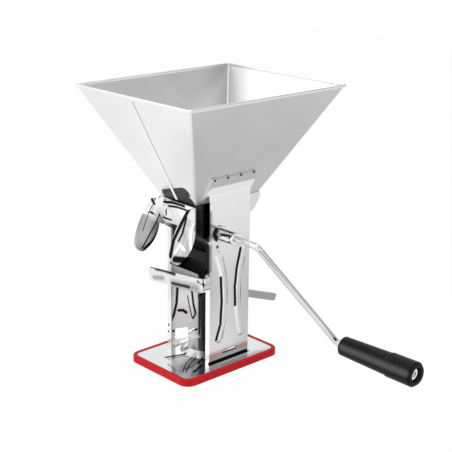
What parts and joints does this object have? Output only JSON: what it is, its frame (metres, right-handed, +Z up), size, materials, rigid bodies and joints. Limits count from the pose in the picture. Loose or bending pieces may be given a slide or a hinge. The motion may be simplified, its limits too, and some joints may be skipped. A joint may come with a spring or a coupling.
{
  "type": "hand-cranked tomato strainer",
  "caption": "Hand-cranked tomato strainer: square steel hopper, perforated half drum with wiper paddles, juice trough, bent crank with grip, and a vacuum base.",
  "frame": {"origin": "on the table, under the middle of the two side plates", "axes": "+Z up, +X along the axle towards the crank, +Y towards the vacuum lever, so -Y is the front with the trough"},
  "size_m": [0.3926, 0.2552, 0.3536],
  "materials": {
    "hopper_steel": "satin stainless sheet",
    "plate_steel": "bright stainless sheet",
    "bright_steel": "polished sheet",
    "base_steel": "polished plate",
    "zinc_steel": "plated steel",
    "red_rubber": "red rubber edging",
    "black_rubber": "soft diaphragm",
    "grip_plastic": "dark moulded grip",
    "rotor_plastic": "black moulding",
    "bush_plastic": "dark bush"
  },
  "bodies": {
    "frame": {"hopper_left_half": "hopper_steel", "hopper_right_half": "hopper_steel", "hopper_front_seam": "hopper_steel", "hopper_back_seam": "hopper_steel", "left_side_plate": "plate_steel", "right_side_plate": "plate_steel", "tab_welds": "zinc_steel", "chamber_shell": "bright_steel", "tie_bars": "zinc_steel", "strainer_screen": "bright_steel", "left_bush": "bush_plastic", "right_bush": "bush_plastic", "splash_hood": "bright_steel", "hood_rivets": "zinc_steel", "juice_chute": "bright_steel", "juice_trough": "bright_steel", "trough_rivets": "zinc_steel", "base_plate": "base_steel", "base_gasket": "red_rubber", "vacuum_cup": "black_rubber", "foot_rivets": "zinc_steel", "fulcrum_pin": "zinc_steel", "lever_spacers": "zinc_steel"},
    "crank": {"rotor_core": "rotor_plastic", "rotor_paddles": "rotor_plastic", "drive_tube": "zinc_steel", "axle_stub": "zinc_steel", "retaining_ring": "zinc_steel", "crank_rod": "zinc_steel", "grip_collar": "zinc_steel", "grip_push_nut": "zinc_steel"},
    "grip": {"crank_grip": "grip_plastic"},
    "lever": {"vacuum_lever": "zinc_steel"},
    "rod": {"pull_rod": "zinc_steel", "pull_rod_pin": "zinc_steel", "pull_rod_foot": "zinc_steel"}
  },
  "joints": [
    {"name": "crank_spin", "type": "hinge", "parent": "frame", "child": "crank", "pos_m": [0.07, -0.017, 0.177], "axis": [1, 0, 0], "continuous": true},
    {"name": "grip_spin", "type": "hinge", "parent": "crank", "child": "grip", "pos_m": [0.23, 0.066, 0.049], "axis": [1, 0, 0], "continuous": true},
    {"name": "lever_tilt", "type": "hinge", "parent": "frame", "child": "lever", "pos_m": [0, 0.0275, 0.0818], "axis": [1, 0, 0], "range_deg": [0, 9]},
    {"name": "pull_rod_slide", "type": "slide", "parent": "frame", "child": "rod", "axis": [0, 0, 1], "range_m": [-0.0058, 0], "deforming": ["vacuum_cup"]}
  ],
  "couplings": [
    {"joint": "pull_rod_slide", "follows": "lever_tilt", "m_per_rad": -0.0362}
  ]
}
